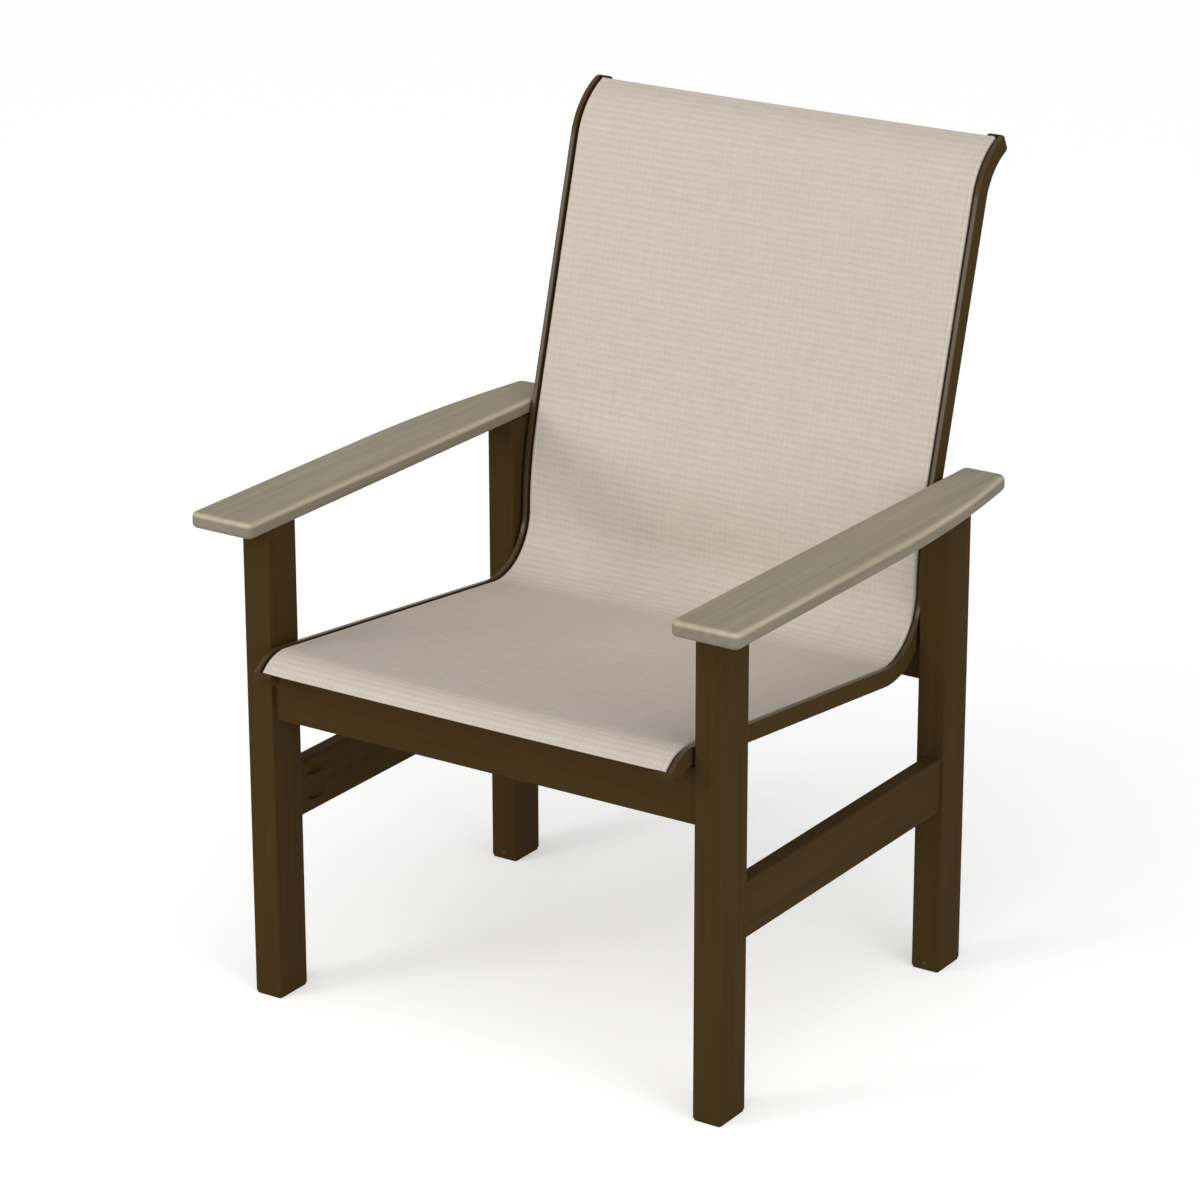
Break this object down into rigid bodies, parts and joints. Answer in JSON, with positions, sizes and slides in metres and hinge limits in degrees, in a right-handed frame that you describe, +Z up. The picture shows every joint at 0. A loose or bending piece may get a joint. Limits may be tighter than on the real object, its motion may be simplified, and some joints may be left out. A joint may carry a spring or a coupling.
{
  "type": "sling patio armchair",
  "caption": "Outdoor dining armchair with a dark square-cut board frame, flat wood-look armrests and a woven mesh sling stretched between bent side rails.",
  "frame": {"origin": "middle of the chair's bounding box in plan, at the height of the undersides of its feet", "axes": "+Z up, +X to the right as seen from the front, +Y towards the back of the chair; the sitter faces -Y"},
  "size_m": [0.721, 0.708, 0.9636],
  "materials": {
    "frame_boards": "matte dark brown",
    "armrest_boards": "matte, weathered wood grain",
    "rails": "satin dark brown",
    "sling_mesh": "woven beige mesh",
    "dark_plastic": "moulded, dark brown",
    "steel": "plain stainless",
    "dowel_wood": "bare"
  },
  "bodies": {
    "root": {"leg_left_front": "frame_boards", "leg_left_rear": "frame_boards", "leg_right_front": "frame_boards", "leg_right_rear": "frame_boards", "side_stretcher_left": "frame_boards", "side_stretcher_right": "frame_boards", "front_apron": "frame_boards", "rear_crossbar": "frame_boards", "armrest_left": "armrest_boards", "armrest_right": "armrest_boards", "side_rail_left": "rails", "side_rail_right": "rails", "spreader_bar": "rails", "sling": "sling_mesh", "rail_cap_left_front": "dark_plastic", "rail_cap_left_top": "dark_plastic", "rail_cap_right_front": "dark_plastic", "rail_cap_right_top": "dark_plastic", "foot_plug_left_front": "dark_plastic", "foot_plug_left_rear": "dark_plastic", "foot_plug_right_front": "dark_plastic", "foot_plug_right_rear": "dark_plastic", "rail_spacer_left_front": "dark_plastic", "rail_spacer_left_lower": "dark_plastic", "rail_spacer_left_upper": "dark_plastic", "rail_spacer_right_front": "dark_plastic", "rail_spacer_right_lower": "dark_plastic", "rail_spacer_right_upper": "dark_plastic", "sling_spline_left": "dark_plastic", "sling_spline_right": "dark_plastic", "rail_bolt_left_front": "steel", "rail_bolt_left_lower": "steel", "rail_bolt_left_upper": "steel", "rail_bolt_right_front": "steel", "rail_bolt_right_lower": "steel", "rail_bolt_right_upper": "steel", "foot_pin_left_front": "steel", "foot_pin_left_rear": "steel", "foot_pin_right_front": "steel", "foot_pin_right_rear": "steel", "stretcher_screw_left_front_lower": "steel", "stretcher_screw_left_front_upper": "steel", "stretcher_screw_left_rear_lower": "steel", "stretcher_screw_left_rear_upper": "steel", "stretcher_screw_right_front_lower": "steel", "stretcher_screw_right_front_upper": "steel", "stretcher_screw_right_rear_lower": "steel", "stretcher_screw_right_rear_upper": "steel", "apron_screw_left_lower": "steel", "apron_screw_left_upper": "steel", "apron_screw_right_lower": "steel", "apron_screw_right_upper": "steel", "crossbar_screw_left_lower": "steel", "crossbar_screw_left_upper": "steel", "crossbar_screw_right_lower": "steel", "crossbar_screw_right_upper": "steel", "arm_dowel_left_front": "dowel_wood", "arm_dowel_left_rear": "dowel_wood", "arm_dowel_right_front": "dowel_wood", "arm_dowel_right_rear": "dowel_wood"}
  },
  "joints": []
}
